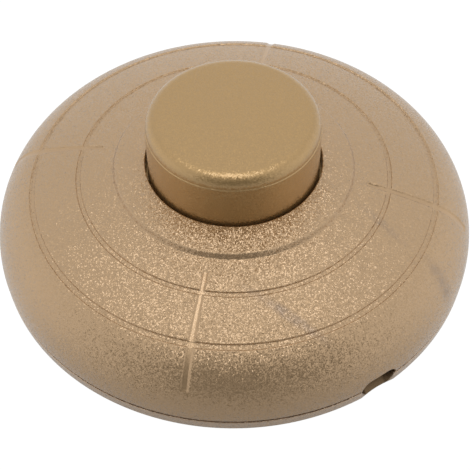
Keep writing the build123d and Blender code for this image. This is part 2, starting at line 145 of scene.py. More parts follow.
class ShellSizes(bpy.types.PropertyGroup):
    """Sizes of the moulded shells."""

    rim_round: length("Rim round", "Radius of the round between the dome and the rim", 8.4)
    dome_radius: length("Dome radius", "Radius of the dome's arc in section", 58.0)
    shoulder_slope: turn("Shoulder slope", "Slope where the rim's round meets the dome", 20)
    rim_rise: length("Rim rise", "Height of the widest line above the seam", 0.3)
    wall: length("Wall", "Thickness of the cover", 2.0)
    collar_radius: length("Collar radius", "Foot of the raised collar", 15.8)
    collar_taper: length("Collar taper", "How much the collar narrows towards its top", 0.35)
    collar_crown: length("Collar crown", "Rise of the collar's top towards the button", 0.55)
    collar_round: length("Collar round", "Round on the collar's outer edge", 0.4)
    collar_foot: length("Collar foot", "Hollow round at the collar's foot", 0.3)
    hole_radius: length("Hole radius", "Hole round the button", 11.5)
    button_gap: length("Button gap", "Between the button's side and the edge of its hole", 0.36)
    hole_round: length("Hole round", "Round on the edge of the button's hole", 0.2)
    guide_drop: length("Guide drop", "Length of the guide ring under the ceiling", 5.4)
    guide_wall: length("Guide wall", "Thickness of the guide ring", 1.3)
    running_gap: length("Running gap", "Between faces that slide on each other", 0.08)
    channel_depth: length("Channel depth", "Depth of the ring channels", 0.18)
    channel_edge: length("Channel edge", "Width of a channel's sloping side", 0.15)
    inner_channel: length("Inner channel", "Inner radius of the inner ring channel", 20.1)
    inner_channel_width: length("Inner channel width", "Width of the inner ring channel", 0.57)
    outer_channel: length("Outer channel", "Inner radius of the outer ring channel", 26.3)
    outer_channel_width: length("Outer channel width", "Width of the outer ring channel", 0.68)
    mark_depth: length("Mark depth", "Depth of the radial marks", 0.16)
    mark_edge: length("Mark edge", "Width of a radial mark's sloping side", 0.26)
    mark_width: length("Mark width", "Width of a radial mark at its middle", 0.7)
    mark_start: length("Mark start", "Radius of the middle of a mark's round end", 17.8)
    mark_end: length("Mark end", "Radius where a radial mark ends", 30.9)
    inlet_width: length("Inlet width", "Width of the oval cord inlet", 5.0)
    inlet_height: length("Inlet height", "Height of the oval cord inlet", 2.6)
    inlet_floor: length("Inlet floor", "Material left under the inlet", 0.5)
    inlet_lip: length("Inlet lip", "Round on the inlet's outer edge", 0.16)
    inlet_sill: length("Inlet sill", "Drop of the slope on the lower lip that the cord bends over", 0.6)
    inlet_run: length("Inlet run", "Length of the slope along the cord", 1.5)
    scoop_depth: length("Scoop depth", "Depth of the hollow in the base's band under an inlet", 0.52)
    scoop_radius: length("Scoop radius", "Radius of that hollow", 12.0)
    base_edge: length("Base edge", "Round on the base's lower edge", 0.3)
    base_draft: length("Base draft", "How much the base's band leans out towards the seam", 0.1)
    base_floor: length("Base floor", "Thickness of the base's floor", 1.5)
    seam_gap: length("Seam gap", "Height of the parting seam", 0.3)
    button_round: length("Button round", "Round on the button's top edge", 1.5)
    button_ledge: length("Button ledge", "Width of the fine ledge under the button's round", 0.1)
    button_crown: length("Button crown", "Rise of the button's top in its middle", 0.1)
    button_wall: length("Button wall", "Thickness of the button's skirt", 1.6)
    button_top: length("Button top", "Thickness of the button's top", 2.0)
    tooth_height: length("Tooth height", "From the tip to the root of a driver tooth", 5.05)
    spring_wire: length("Spring wire", "Thickness of the spring's wire", 0.8)


class Finishes(bpy.types.PropertyGroup):
    """Colours and textures of the pieces."""

    shell_gold: colour("Shell gold", "Paint of the cover", (0.585, 0.388, 0.21))
    # Painted reflection: the base's paint is paler than the cover's, standing in for the bright floor
    # reflected in its band.
    base_gold_painted_reflection: colour("Base gold", "Paint of the base, a little paler than the cover's", (0.68, 0.50, 0.34))
    button_gold: colour("Button gold", "Paint of the button", (0.555, 0.352, 0.143))
    smudge_grey: colour("Smudge grey", "Bluish rubbed smudges on the cover", (0.30, 0.22, 0.165))
    # Painted shade: the paint inside the inlets is darkened, standing in for the shade in the holes.
    inlet_painted_shade: share("Inlet shade", "Darkening of the thin paint inside the inlets", 0.4)
    paint_roughness: share("Paint roughness", "Gloss of the metallic paint", 0.37)
    paint_metal: share("Paint metal", "How metallic the paint is", 0.8)
    lacquer_roughness: share("Lacquer roughness", "Roughness of the clear lacquer", 0.18)
    lacquer: share("Lacquer", "Weight of the clear coat over the paint", 1.0)
    flake_size: length("Flake size", "Spacing of the metal flakes", 0.125, low=0.00001)
    flake_tilt: share("Flake tilt", "How far the flakes of the cover lean away from the face", 0.27)
    button_calm: share("Button calm", "How much less the button's flakes lean", 0.55)
    grain_size: length("Grain size", "Spacing of the orange-peel grain", 0.16, low=0.00001)
    grain_depth: length("Grain depth", "Height of the orange-peel grain", 0.0018)


class StudioLevels(bpy.types.PropertyGroup):
    """Light and camera of the studio."""

    azimuth: turn("Azimuth", "Direction that the camera looks along, from +Y towards -X", 56.4)
    elevation: turn("Elevation", "Height of the camera above the horizon", 50.9)
    roll: turn("Roll", "Turn about the line of sight", -0.58)
    distance: length("Distance", "From the camera to the point it looks at", 154.9, high=5.0)
    aim_right: length("Aim right", "How far right of the middle the camera looks", 0.08, low=-0.1)
    aim_height: length("Aim height", "Height of the point that the camera looks at", -1.1, low=-0.1)
    focal_pixels: FloatProperty(name="Focal length", description="In pixels", default=1100.0, min=1.0)
    picture_pixels: IntProperty(name="Picture width", description="In pixels", default=470, min=1)
    overhead: FloatProperty(name="Overhead light", description="Power in watts", default=0.25, min=0.0)
    overhead_size: length("Overhead size", "Side of the overhead light", 180.0, high=5.0)
    surround: share("Surround", "Strength of the even light above and behind", 0.69, high=10.0)
    front_share: share("Front share", "Strength of the surround on the camera's side against the rest", 0.21)
    back_gain: share("Back gain", "Extra strength of the surround low behind the switch", 0.25, high=5.0)
    side_gain: share("Side gain", "Extra strength of the surround to the left and right", 0.3, high=5.0)
    floor_front: share("Floor front", "How light the floor in front is in reflections", 0.5)
    floor_back: share("Floor back", "How light the floor beside and behind is in reflections", 0.85)


SETTINGS = {"shell_sizes": ShellSizes, "finishes": Finishes, "studio_levels": StudioLevels}


def settings(name):
    """One of the property groups of the open scene."""
    return getattr(bpy.context.scene, name)


def in_mm(group, *names):
    """Named lengths of a property group, in millimetres."""
    return [getattr(group, name) / MM for name in names]


def smooth_step(value):
    """0 below 0, 1 above 1, and an even S between: 3t^2 - 2t^3."""
    t = np.clip(value, 0.0, 1.0)
    return t * t * (3 - 2 * t)


def ramp_between(value, start, width):
    """S-shaped rise of the given width, centred on start."""
    return smooth_step((value - start) / width + 0.5)


def clustered(low, high, count, centres, spread, extra):
    """Even samples from low to high, with more of them close to each centre."""
    samples = [np.linspace(low, high, count)]
    for centre in centres:
        samples.append(centre + np.linspace(-spread, spread, extra))
    values = np.unique(np.round(np.concatenate(samples), 5))
    return values[(values >= low) & (values <= high)]


def arc_points(centre, radius, start, end, count):
    """Points on an arc of the section, between two angles in degrees."""
    angle = np.radians(np.linspace(start, end, count))
    return np.stack([centre[0] + radius * np.cos(angle), centre[1] + radius * np.sin(angle)], axis=-1)


def rounded_corner(before, corner, after, radius, count=6):
    """Parabola that rounds one corner of the section.

    It touches both sides at radius / tan(half the corner's angle), or before their middles if they are short.
    """
    most = 0.45
    before, corner, after = (np.array(p, float) for p in (before, corner, after))
    side_before, side_after = np.linalg.norm(before - corner), np.linalg.norm(after - corner)
    to_before = (before - corner) / side_before
    to_after = (after - corner) / side_after
    half = np.arccos(np.clip(to_before @ to_after, -1, 1)) / 2
    reach = min(radius / np.tan(half), most * side_before, most * side_after)
    turned = np.linspace(0, 1, count)[:, None]
    start = corner + to_before * reach
    end = corner + to_after * reach
    return (1 - turned) ** 2 * start + 2 * turned * (1 - turned) * corner + turned**2 * end


def rounded_section(corners):
    """Section through corners (radius, height, round) with each inner corner rounded; the ends stay sharp."""
    parts = [np.array([corners[0][:2]], float)]
    for before, corner, after in zip(corners, corners[1:], corners[2:]):
        if corner[2] > 0:
            parts.append(rounded_corner(before[:2], corner[:2], after[:2], corner[2]))
        else:
            parts.append(np.array([corner[:2]], float))
    parts.append(np.array([corners[-1][:2]], float))
    return np.concatenate(parts)


def mesh_from_grid(points, closed_rows):
    """Vertices and quads of a grid of points, wrapped round its columns and, if asked, its rows."""
    rows, columns = points.shape[:2]
    index = np.arange(rows * columns).reshape(rows, columns)
    if closed_rows:
        index = np.vstack([index, index[:1]])
    index = np.hstack([index, index[:, :1]])
    quads = np.stack([index[:-1, :-1], index[:-1, 1:], index[1:, 1:], index[1:, :-1]], axis=-1)
    return points.reshape(-1, 3), quads.reshape(-1, 4)


def capped(loops):
    """Mesh of a stack of closed loops, with a fan over the first and the last."""
    ends = [np.broadcast_to(loop.mean(axis=0), loop.shape)[None] for loop in (loops[0], loops[-1])]
    return mesh_from_grid(np.concatenate([ends[0], loops, ends[1]]), False)


def join_meshes(parts):
    """Several (vertices, quads) pairs as one."""
    vertices, quads, offset = [], [], 0
    for part_vertices, part_quads in parts:
        vertices.append(part_vertices)
        quads.append(part_quads + offset)
        offset += len(part_vertices)
    return np.concatenate(vertices), np.concatenate(quads)


def turned_part(section, columns=96, centre=(0.0, 0.0), closed=False):
    """Mesh of a section (radius, height) turned about an upright line through centre."""
    azimuth = np.linspace(0, 2 * np.pi, columns, endpoint=False)[None, :]
    section = np.asarray(section, float)
    radius, height = section[:, :1], section[:, 1:]
    x = centre[0] + radius * np.cos(azimuth)
    y = centre[1] + radius * np.sin(azimuth)
    return mesh_from_grid(np.stack([x, y, np.broadcast_to(height, x.shape)], axis=-1), closed)


def drum(radius, low, high, centre=(0.0, 0.0), columns=64):
    """Plain upright cylinder."""
    return turned_part([(0, low), (radius, low), (radius, high), (0, high)], columns, centre)


def block_part(centre, size, low, high, angle=0.0, edge=0.15):
    """Upright block with softened top edges, moved out to centre and then turned about Z."""
    half, bend = np.array(size) / 2, edge * 0.3
    loops = []
    for inset, height in ((0, low), (0, high - edge), (bend, high - bend), (edge, high)):
        x, y = half - inset
        loops.append([(-x, -y, height), (x, -y, height), (x, y, height), (-x, y, height)])
    points = np.array(loops) + (*centre, 0)
    return capped(turned_by(points, angle))


def turned_by(points, angle):
    """Points turned about Z by an angle in degrees."""
    c, s = cos(radians(angle)), sin(radians(angle))
    return points @ np.array([[c, s, 0], [-s, c, 0], [0, 0, 1]])


def new_piece(name, parts, sharp=32):
    """Object in metres from mesh parts in millimetres, with doubles merged and faces turned outwards."""
    vertices, quads = join_meshes(parts)
    mesh = bpy.data.meshes.new(name)
    mesh.from_pydata((vertices * MM).tolist(), [], quads.tolist())
    piece = bpy.data.objects.new(name, mesh)
    bpy.context.scene.collection.objects.link(piece)
    clean_mesh(mesh, sharp)
    return piece


def clean_mesh(mesh, sharp):
    """Merges doubles, turns faces outwards and shades smooth up to an angle in degrees."""
    same_place, no_length = 1e-7, 1e-8
    work = bmesh.new()
    work.from_mesh(mesh)
    bmesh.ops.remove_doubles(work, verts=work.verts, dist=same_place)
    bmesh.ops.dissolve_degenerate(work, edges=work.edges, dist=no_length)
    bmesh.ops.recalc_face_normals(work, faces=work.faces)
    work.to_mesh(mesh)
    work.free()
    mesh.shade_smooth()
    mesh.set_sharp_from_angle(angle=radians(sharp))


def cut_away(piece, tools, sharp=32):
    """Takes the tools' volumes out of a piece and removes the tools."""
    for tool in tools:
        cut = piece.modifiers.new("cut", "BOOLEAN")
        cut.operation = "DIFFERENCE"
        cut.solver = "EXACT"
        cut.object = tool
    bpy.context.view_layer.update()
    graph = bpy.context.evaluated_depsgraph_get()
    mesh = bpy.data.meshes.new_from_object(piece.evaluated_get(graph))
    piece.modifiers.clear()
    piece.data = mesh
    for tool in tools:
        bpy.data.objects.remove(tool)
    mesh.shade_smooth()
    mesh.set_sharp_from_angle(angle=radians(sharp))


def ring_azimuths(near, near_count, away_count):
    """Offsets in radians across one eighth of the ring, closest together in its middle."""
    middle = np.linspace(-near, near, near_count)
    away = np.linspace(near, np.pi / EIGHTHS, away_count + 1)[1:]
    return np.concatenate([-away[::-1], middle, away])[:-1]


def cover_columns(radius):
    """Azimuth and sideways distance for each radius and column.

    Each eighth of the ring has its middle at a multiple of 45 degrees. Close to the middle the columns
    run parallel, at a fixed sideways distance, and away from it they run out from the ring's centre.
    """
    reference, mark_reach = 24.0, 0.75
    offsets = ring_azimuths(mark_reach / reference, near_count=17, away_count=16)
    blend = smooth_step(np.abs(offsets) / (np.pi / EIGHTHS))
    swing = offsets * ((1 - blend) * reference / radius[:, None] + blend)
    middles = np.arange(EIGHTHS) * 2 * np.pi / EIGHTHS
    azimuth = (middles[None, :, None] + swing[:, None, :]).reshape(len(radius), -1)
    shape = (len(radius), EIGHTHS, len(offsets))
    aside = np.broadcast_to((radius[:, None] * np.sin(swing))[:, None, :], shape).reshape(len(radius), -1)
    is_mark = (np.arange(EIGHTHS) % 2 == 1).astype(float)
    marked = np.broadcast_to(is_mark[None, :, None], shape).reshape(len(radius), -1)
    return azimuth, aside, marked


class DomeSection:
    """The cover's outer line in section: a round rim that runs into a flatter dome."""

    def __init__(self, sizes):
        self.rim_round, self.dome_radius, rim_rise, self.collar = in_mm(
            sizes, "rim_round", "dome_radius", "rim_rise", "collar_radius"
        )
        self.slope = sizes.shoulder_slope
        self.rim_radius = cover_high[1]
        self.rim_z = cover_low[2] + rim_rise
        self.rim_centre = self.rim_radius - self.rim_round
        self.shoulder = self.rim_centre + self.rim_round * sin(self.slope)
        shoulder_z = self.rim_z + self.rim_round * cos(self.slope)
        self.centre = self.shoulder - self.dome_radius * sin(self.slope)
        self.centre_z = shoulder_z - self.dome_radius * cos(self.slope)

    def at(self, radius, depth=0.0):
        """Height of the line at each radius, sunk by depth along its normal."""
        radius = np.asarray(radius, float)
        knee = self.rim_centre + (self.rim_round - depth) * sin(self.slope)
        rim = np.sqrt(np.maximum((self.rim_round - depth) ** 2 - (radius - self.rim_centre) ** 2, 0))
        dome = np.sqrt((self.dome_radius - depth) ** 2 - (radius - self.centre) ** 2)
        return np.where(radius > knee, self.rim_z + rim, self.centre_z + dome)

    def normal(self, radius, height):
        """Outward direction of the line, along the radius and up."""
        on_rim = radius > self.shoulder
        along = np.where(on_rim, radius - self.rim_centre, radius - self.centre)
        up = np.where(on_rim, height - self.rim_z, height - self.centre_z)
        size = np.hypot(along, up)
        return along / size, up / size


def guide_radii(sizes):
    """Inner and outer radius of the guide ring round the button's flange."""
    gap, wall = in_mm(sizes, "running_gap", "guide_wall")
    inner = button_high[0] + gap
    return inner, inner + wall


def cover_outline(sizes, dome):
    """Closed section of the cover: rim, dome, collar and hole outside, ceiling, guide ring and wall inside.

    Returns the points and how many of them, at the start, are on the grooved outer face.
    """
    wall, taper, crown, hole, drop = in_mm(
        sizes, "wall", "collar_taper", "collar_crown", "hole_radius", "guide_drop"
    )
    edge, foot_round, hole_edge = in_mm(sizes, "collar_round", "collar_foot", "hole_round")
    first, first_width, second, second_width = in_mm(
        sizes, "inner_channel", "inner_channel_width", "outer_channel", "outer_channel_width"
    )
    start, end = in_mm(sizes, "mark_start", "mark_end")
    collar, seam_z, top_z = dome.collar, cover_low[2], cover_high[2]
    end_angle = np.degrees(np.arccos((end - dome.rim_centre) / dome.rim_round))
    tilt = np.degrees(dome.slope)
    near_edge, near_edge_degrees, near_shoulder, clear_of_shoulder = 0.2, 1.6, 0.16, 0.02
    edges = np.array([first, first + first_width, second, second + second_width, start])
    low_edges = edges[edges > dome.shoulder - near_shoulder]
    edge_angles = np.degrees(np.arccos(np.minimum((low_edges - dome.rim_centre) / dome.rim_round, 1)))
    angles = clustered(0, 90 - tilt, 30, (end_angle, *edge_angles), near_edge_degrees, extra=13)
    rim_angles = np.radians(angles)
    rim_x = dome.rim_centre + dome.rim_round * np.cos(rim_angles)
    rim = np.stack([rim_x, dome.rim_z + dome.rim_round * np.sin(rim_angles)], axis=-1)
    radii = clustered(collar + foot_round, dome.shoulder, 34, edges, near_edge, extra=11)[::-1]
    radii = radii[radii < dome.shoulder - clear_of_shoulder]
    face = np.stack([radii, dome.at(radii)], axis=-1)
    seam_edge = np.array([[-0.1, 0.04], [-0.02, 0.14]])
    tuck = seam_edge + (dome.rim_radius, seam_z)
    grooved = np.concatenate([tuck, rim, face])
    guide_in, guide_out = guide_radii(sizes)
    ceiling = top_z - wall
    collar_top = collar - taper
    inside_radii = np.linspace(collar, dome.shoulder - wall * sin(dome.slope), 10)
    inner_rim = arc_points((dome.rim_centre, dome.rim_z), dome.rim_round - wall, 90 - tilt, 0, 12)
    guide_edge, guide_corner, ceiling_corner = 0.15, 0.2, 0.3
    collar_line = rounded_section(
        [
            (*grooved[-1], 0),
            (collar, dome.at(collar), foot_round),
            (collar_top, top_z - crown, edge),
            (hole, top_z, hole_edge),
            (hole, ceiling, guide_corner),
            (guide_in, ceiling, guide_corner),
            (guide_in, ceiling - drop, guide_edge),
            (guide_out, ceiling - drop, guide_edge),
            (guide_out, ceiling, ceiling_corner),
            (collar_top, ceiling, ceiling_corner),
            (inside_radii[0], dome.at(inside_radii[0], wall), 0),
        ]
    )[1:-1]
    inside = np.stack([inside_radii, dome.at(inside_radii, wall)], axis=-1)
    foot = np.array([[dome.rim_radius - wall, seam_z]])
    return np.concatenate([grooved, collar_line, inside, inner_rim[1:], foot]), len(grooved)


def groove_depths(sizes, radius, aside, marked):
    """Depth of the grooves at each point: a ring channel or a radial mark, whichever is deeper there.

    A mark grows wider in step with the radius. Also returns how far each point lies in a mark, from 0 to 1.
    """
    depth, edge = in_mm(sizes, "channel_depth", "channel_edge")
    mark_depth, width, start, end, soft = in_mm(
        sizes, "mark_depth", "mark_width", "mark_start", "mark_end", "mark_edge"
    )
    middle = (start + end) / 2
    total = np.zeros_like(aside)
    for name in ("inner_channel", "outer_channel"):
        inner, across = in_mm(sizes, name, name + "_width")
        ring = ramp_between(radius, inner, edge) * (1 - ramp_between(radius, inner + across, edge))
        total = np.maximum(total, depth * ring[:, None])
    past_start = np.minimum(radius[:, None] - start, 0)
    widening = middle / radius[:, None]
    sideways = np.hypot(aside * widening, past_start)
    bar = 1 - ramp_between(sideways, width / 2, soft)
    bar = bar * (1 - ramp_between(radius, end, soft))[:, None] * marked
    return np.maximum(total, mark_depth * bar), bar


def paint_mark_mask(mesh, values):
    """Stores how far each vertex lies in a radial mark, from 0 to 1, for the paint to read."""
    layer = mesh.attributes.new("in_mark", "FLOAT", "POINT")
    layer.data.foreach_set("value", values.astype(np.float32).ravel())


def inlet_middle():
    """Height of the inlets' middle, and half of their width and of their height with the slope below."""
    width, height, floor, sill = in_mm(
        settings("shell_sizes"), "inlet_width", "inlet_height", "inlet_floor", "inlet_sill"
    )
    return base_low[2] + floor + height / 2, width / 2, height / 2 + sill


def inlet_tools(sizes, name):
    """Oval prisms through both inlets along X, as tools to cut with.

    At the outer face they flare: by the lip all round, along a quarter of an ellipse, and by the sill below,
    evenly along the run and with the fourth power of the sine round the oval.
    """
    width, height, lip, sill, run = in_mm(
        sizes, "inlet_width", "inlet_height", "inlet_lip", "inlet_sill", "inlet_run"
    )
    half, flat = height / 2, width / 2 - height / 2
    middle_z = inlet_middle()[0]
    bend = np.radians(np.linspace(-90, 90, 17))
    inner_end, outer_end, rim_curve = 20.5, 34.0, 0.08
    face = cover_high[1] - rim_curve
    into = np.linspace(0, 1, 9)
    flare = [(inner_end, 0.0, 0.0), *((face - run + run * t, t, 1 - np.sqrt(1 - t * t)) for t in into)]
    flare.append((outer_end, 1.0 + (outer_end - face) / run, 1.0))
    tools = []
    for end_name, end in ENDS.items():
        loops = []
        for along, slope, round_share in flare:
            upper = half + round_share * lip
            side = np.stack([flat + upper * np.cos(bend), upper * np.sin(bend)], axis=-1)
            side[:, 1] -= np.where(bend < 0, slope * sill * np.sin(bend) ** 4, 0.0)
            oval = np.concatenate([side, side[::-1] * (-1, 1)])
            x = np.full(len(oval), end * along)
            loops.append(np.column_stack([x, oval[:, 0], middle_z + oval[:, 1]]))
        tools.append(new_piece(f"{name}_{end_name}", [capped(np.array(loops))]))
    return tools


def screw_spots():
    """Plan of the two cover screws."""
    across = abs(screw_low[1] + screw_high[1]) / 2
    return [(0.0, side * across) for side in (-1, 1)]


def cover_fittings(sizes):
    """Two tubes for the cover screws, which end in the cover's wall, and two keys for the flange."""
    bore, outside, roof, tube_drop, screw_gap = 1.45, 3.2, 1.6, 3.9, 0.4
    key_size, key_sunk = (1.8, 1.6), 0.3
    low, high = base_high[2] - tube_drop, screw_high[2] + screw_gap
    top = high + roof
    tube = np.array([[bore, low], [outside, low], [outside, top], [0.0, top], [0.0, high], [bore, high]])
    inner = guide_radii(sizes)[0]
    drop, wall = in_mm(sizes, "guide_drop", "wall")
    dome = DomeSection(sizes)
    parts = []
    for spot in screw_spots():
        points, quads = turned_part(tube, 40, spot, closed=True)
        under_face = dome.at(np.hypot(points[:, 0], points[:, 1]), wall / 2)
        points[:, 2] = np.minimum(points[:, 2], under_face)
        parts.append((points, quads))
    ceiling = cover_high[2] - wall
    for angle in (0, 180):
        parts.append(block_part((inner, 0), key_size, ceiling - drop, ceiling + key_sunk, angle))
    return parts


def base_outline(sizes):
    """Half section of the base: band, spigot, floor and centre pin."""
    edge, draft, floor, gap, wall = in_mm(sizes, "base_edge", "base_draft", "base_floor", "seam_gap", "wall")
    band_inset, spigot_gap, spigot_wall, spigot_lead = 0.03, 0.1, 1.1, 0.5
    spigot_straight, spigot_rise = 0.6, 1.9
    seat_radius, seat_rise, pin_radius = 3.2, 1.0, 1.75
    under, seam_z = base_low[2], cover_low[2]
    band = cover_high[1] - band_inset
    spigot = cover_high[1] - wall - spigot_gap
    top = seam_z + spigot_rise
    floor_z = under + floor
    return rounded_section(
        [
            (0, under, 0),
            (band - draft, under, edge),
            (band, seam_z - gap, 0.12),
            (spigot, seam_z - gap, 0.08),
            (spigot, seam_z + spigot_straight, 0.1),
            (spigot - spigot_lead, top, 0.15),
            (spigot - spigot_wall, top, 0.1),
            (spigot - spigot_wall, floor_z, 0.4),
            (seat_radius, floor_z, 0.2),
            (seat_radius, floor_z + seat_rise, 0.15),
            (pin_radius, floor_z + seat_rise, 0.15),
            (pin_radius, base_high[2], 0.4),
            (0, base_high[2], 0),
        ]
    )


def base_cuts():
    """Recesses of the feet, counterbores of the cover screws, and the hollows and holes of both inlets."""
    clearance, overshoot, hollow_overshoot, head_depth = 0.1, 1, 0.3, 3.0
    under = base_low[2]
    below = under - overshoot
    foot_middle = (foot_low[:2] + foot_high[:2]) / 2
    foot_radius = (foot_high[0] - foot_low[0]) / 2 + clearance
    head_radius = (screw_high[0] - screw_low[0]) / 2 + clearance
    tools = []
    for i, (side_x, side_y) in enumerate(((1, 1), (-1, 1), (-1, -1), (1, -1))):
        spot = np.abs(foot_middle) * (side_x, side_y)
        tools.append(new_piece(f"foot_recess_{i}", [drum(foot_radius, below, foot_high[2], spot)]))
    for i, spot in enumerate(screw_spots()):
        tools.append(new_piece(f"counterbore_{i}", [drum(head_radius, below, under + head_depth, spot)]))
    sizes = settings("shell_sizes")
    depth, radius = in_mm(sizes, "scoop_depth", "scoop_radius")
    for end_name, end in ENDS.items():
        centre = (end * (cover_high[1] - depth + radius), 0.0)
        hollow = drum(radius, under - hollow_overshoot, cover_low[2], centre, columns=240)
        tools.append(new_piece(f"base_scoop_{end_name}", [hollow]))
    return tools + inlet_tools(sizes, "base_inlet")


def base_fittings():
    """Screw bosses, terminal walls, pawl post and clamp bosses on the base's floor."""
    floor_z = base_low[2] + settings("shell_sizes").base_floor / MM
    sunk = floor_z - SUNK
    head, boss, bore, boss_rise, head_depth = 2.6, 3.9, 1.5, 2.1, 1.5
    boss_top = floor_z + boss_rise
    head_z = boss_top - head_depth
    outside = [(head, sunk), (boss, sunk), (boss, boss_top)]
    inside = [(bore, boss_top), (bore, head_z), (head, head_z)]
    parts = [turned_part(outside + inside, 48, spot, closed=True) for spot in screw_spots()]
    clamp_middle = np.abs(clamp_low[:2] + clamp_high[:2]) / 2
    thread, clamp_out, head_room = 1.05, 2.3, 2.6
    clamp_top = clamp_high[2] - head_room
    clamp_boss = [(thread, sunk), (clamp_out, sunk), (clamp_out, clamp_top), (thread, clamp_top)]
    for side_x in (-1, 1):
        for side_y in (-1, 1):
            parts.append(turned_part(clamp_boss, 40, clamp_middle * (side_x, side_y), closed=True))
    wall_out, wall_aside, wall_rise, wall_size = 18.2, 3.1, 2.2, (5.2, 1.0)
    wall_top = floor_z + wall_rise
    through_aside, through_size = 5.6, (1.0, 5.0)
    through_middle = (through_low[1] + through_high[1]) / 2
    jaw_out, jaw_angle, jaw_aside, jaw_rise, jaw_size = 12.4, radians(40), 1.0, 3.6, (3.2, 1.2)
    for side in (-1, 1):
        for angle in (-45, -135):
            parts.append(block_part((wall_out, side * wall_aside), wall_size, sunk, wall_top, angle))
        parts.append(block_part((side * through_aside, through_middle), through_size, sunk, wall_top))
        jaw = (jaw_out * cos(jaw_angle), jaw_out * sin(jaw_angle) + side * jaw_aside)
        parts.append(block_part(jaw, jaw_size, sunk, floor_z + jaw_rise))
    return parts


def button_outline(sizes):
    """Half section of the button: crowned top, side, flange, skirt, ceiling and driver tube."""
    edge, crown, wall, top, ledge = in_mm(
        sizes, "button_round", "button_crown", "button_wall", "button_top", "button_ledge"
    )
    hole, gap = in_mm(sizes, "hole_radius", "button_gap")
    side = hole - gap
    high = button_high[2]
    flange = button_high[0]
    flange_drop, flange_height, flange_edge, ceiling_corner = 2.2, 1.2, 0.2, 0.3
    straight, ledge_slope = 0.15, 0.7
    flange_top = cover_high[2] - flange_drop
    flange_bottom = flange_top - flange_height
    ceiling = high - top
    root = button_low[2] + sizes.tooth_height / MM
    round_side = side - ledge
    radii = np.linspace(0, round_side - edge, 12)
    face = np.stack([radii, high - crown * (radii / radii[-1]) ** 2], axis=-1)
    round_z = high - crown - edge
    shoulder = arc_points((round_side - edge, round_z), edge, 84, 4, 14)
    below = rounded_section(
        [
            (round_side, round_z, 0),
            (round_side, round_z - straight, 0.1),
            (side, round_z - straight - ledge * ledge_slope, 0.12),
            (side, flange_top, 0.15),
            (flange, flange_top, flange_edge),
            (flange, flange_bottom, flange_edge),
            (side - wall, flange_bottom, flange_edge),
            (side - wall, ceiling, 0.4),
            (TUBE_OUTER, ceiling, ceiling_corner),
            (TUBE_OUTER, root, 0),
            (TUBE_INNER, root, 0),
            (TUBE_INNER, ceiling, ceiling_corner),
            (0, ceiling, 0),
        ]
    )
    return np.concatenate([face, shoulder, below])


def driver_tooth(angle, height):
    """Saw tooth under the driver tube: its underside climbs along the helix as far as the tooth sweeps."""
    into_tube = 0.05
    tip, upper = button_low[2], button_low[2] + height + into_tube
    loops = []
    for step in np.linspace(0, TOOTH_SWEEP, 13):
        c, s = cos(radians(angle + step)), sin(radians(angle + step))
        under = tip + step / HELIX_DEGREES_PER_MM
        section = [(TUBE_INNER, under), (TUBE_OUTER, under), (TUBE_OUTER, upper), (TUBE_INNER, upper)]
        loops.append([(radius * c, radius * s, z) for radius, z in section])
    return capped(np.array(loops))


def button_drive(sizes):
    """Eight driver teeth and four ribs inside the button."""
    top, height = in_mm(sizes, "button_top", "tooth_height")
    first_tooth = 38
    parts = [driver_tooth(first_tooth + 360 / TOOTH_COUNT * i, height) for i in range(TOOTH_COUNT)]
    ceiling = button_high[2] - top
    rib_middle, rib_size, rib_height = (7.75, 0), (3.6, 1.0), 4.0
    for angle in (45, 135, 225, 315):
        parts.append(block_part(rib_middle, rib_size, ceiling - rib_height, ceiling + SUNK, angle))
    return parts


def running_area(values, steps):
    """Area under the values up to each step."""
    return np.concatenate([[0], np.cumsum((values[1:] + values[:-1]) / 2 * np.diff(steps))])


def spring_part(sizes, turns=6.5, dead_turns=0.9):
    """Coil spring: close end turns, an even pitch between them, and both ends ground flat."""
    wire = sizes.spring_wire / MM
    low, high = spring_low[2], spring_high[2]
    radius = spring_high[0] - wire / 2
    steps_per_turn, opening, ground, close_pitch = 48, 0.6, 0.2, 1.02
    steps = np.linspace(0, turns, int(turns * steps_per_turn) + 1)
    opened = smooth_step((steps - dead_turns + opening / 2) / opening)
    opened = opened * smooth_step((turns - steps - dead_turns + opening / 2) / opening)
    dead_pitch = wire * close_pitch
    open_climb = running_area(opened, steps)
    stretch = (high - low - 2 * ground - dead_pitch * turns) / open_climb[-1]
    height = low + ground + dead_pitch * steps + stretch * open_climb
    around = np.linspace(0, 2 * np.pi, 16, endpoint=False)
    azimuth = 2 * np.pi * steps[:, None]
    out = radius + wire / 2 * np.cos(around)[None, :]
    z = np.clip(height[:, None] + wire / 2 * np.sin(around)[None, :], low, high)
    return capped(np.stack([out * np.cos(azimuth), out * np.sin(azimuth), z], axis=-1))


def set_piece(piece, material, slot_name, body, *nodes):
    """Sets a finished piece in the frame: its paint, its body and the solids it stands for. The slot name is
    not used.
    """
    piece.data.materials.clear()
    piece.data.materials.append(material)
    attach(piece, body)
    if nodes:
        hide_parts(*nodes)


